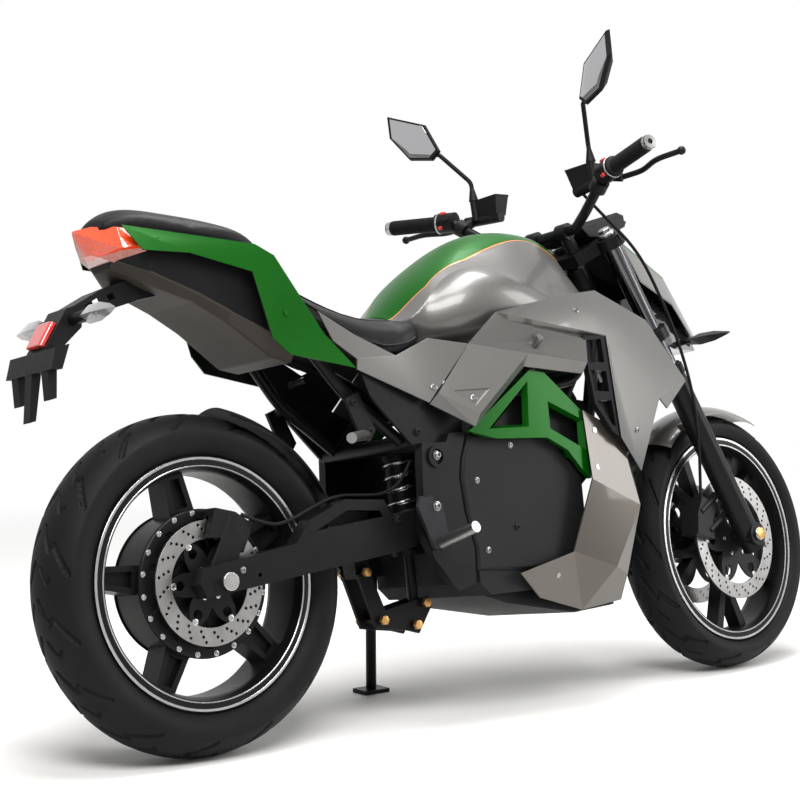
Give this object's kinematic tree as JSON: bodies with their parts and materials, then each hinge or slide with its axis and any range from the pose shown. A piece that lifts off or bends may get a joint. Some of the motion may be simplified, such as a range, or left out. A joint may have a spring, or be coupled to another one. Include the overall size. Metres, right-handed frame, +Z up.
{
  "type": "electric motorcycle",
  "caption": "Naked street-style electric motorcycle with a rear hub motor, faceted bodywork, stepped seat and louvred shrouds, leaning on its side stand.",
  "frame": {"origin": "on the ground, under the middle of the whole part's bounding box", "axes": "+X forward along the wheelbase, +Y to the rider's left, +Z up; the machine leans to +Y"},
  "size_m": [2.0247, 0.8152, 1.3921],
  "materials": {
    "silver_paint": "metallic silver-grey paint under clear coat",
    "green_paint": "metallic green paint under clear coat",
    "black_frame": "satin black powder coat",
    "black_plastic": "fine-grained moulded black plastic",
    "battery_cover": "matte charcoal plastic",
    "seat_vinyl": "grained black vinyl",
    "tyre_rubber": "matte black tyre rubber",
    "soft_rubber": "ribbed black rubber",
    "bare_metal": "brushed bright steel",
    "cast_metal": "dark anodised cast aluminium",
    "lamp_glass": "clear lamp cover over a dark housing",
    "red_lens": "translucent red lens",
    "clear_lens": "clear moulded lens on a black body"
  },
  "bodies": {
    "chassis": {"battery_case": "battery_cover", "belly_pan": "black_plastic", "louvres": "black_plastic", "lower_cowl_left": "silver_paint", "lower_cowl_right": "silver_paint", "main_frame": "black_frame", "pillion_pegs": "bare_metal", "pillion_seat": "seat_vinyl", "pivot_plates": "black_frame", "plate_holder": "black_plastic", "rear_axle": "bare_metal", "rear_brake_hose": "soft_rubber", "rear_caliper": "cast_metal", "rear_hugger": "black_plastic", "rear_indicators": "clear_lens", "rear_shock": "black_frame", "reflector": "red_lens", "rider_pegs": "bare_metal", "rider_seat": "seat_vinyl", "shock_linkage": "black_frame", "shroud_left": "silver_paint", "shroud_right": "silver_paint", "side_panel_left": "silver_paint", "side_panel_right": "silver_paint", "subframe": "black_frame", "swingarm": "black_frame", "swingarm_pivot": "bare_metal", "tail_light": "red_lens", "tail_panel_left": "green_paint", "tail_panel_right": "green_paint", "tank": "silver_paint", "trellis_left": "green_paint", "trellis_right": "green_paint", "undertail": "black_plastic"},
    "side_stand_leg": {"side_stand": "black_frame"},
    "rear_wheel_set": {"rear_tyre": "tyre_rubber", "rear_wheel": "black_frame", "hub_motor": "black_frame", "rear_disc": "bare_metal"},
    "steering": {"steering_yokes": "black_frame", "fork_tubes": "bare_metal", "fork_sliders": "black_frame", "front_axle": "bare_metal", "handlebar": "black_frame", "grips": "soft_rubber", "bar_controls": "black_plastic", "levers": "cast_metal", "mirrors": "black_plastic", "instrument": "black_plastic", "headlight_cowl": "silver_paint", "cowl_strip": "green_paint", "headlight": "lamp_glass", "front_indicators": "black_plastic", "front_fender": "silver_paint", "front_calipers": "cast_metal", "front_brake_hose": "soft_rubber"},
    "front_wheel_set": {"front_tyre": "tyre_rubber", "front_wheel": "black_frame", "front_discs": "bare_metal"}
  },
  "joints": [
    {"name": "steering", "type": "hinge", "parent": "chassis", "child": "steering", "pos_m": [0.40161, -0.03623, 0.82349], "axis": [-0.4617, 0.1388, 0.8761], "range_deg": [-36, 24]},
    {"name": "front_wheel_spin", "type": "hinge", "parent": "steering", "child": "front_wheel_set", "pos_m": [0.72339, -0.11752, 0.28686], "axis": [-0.0927, 0.9747, -0.2032], "continuous": true},
    {"name": "rear_wheel_spin", "type": "hinge", "parent": "chassis", "child": "rear_wheel_set", "pos_m": [-0.69644, -0.11706, 0.3132], "axis": [0, 0.9877, -0.1564], "continuous": true},
    {"name": "side_stand_fold", "type": "hinge", "parent": "chassis", "child": "side_stand_leg", "pos_m": [-0.15144, 0.0427, 0.19678], "axis": [0.2402, 0.8989, 0.3665], "range_deg": [0, 103.1]}
  ]
}
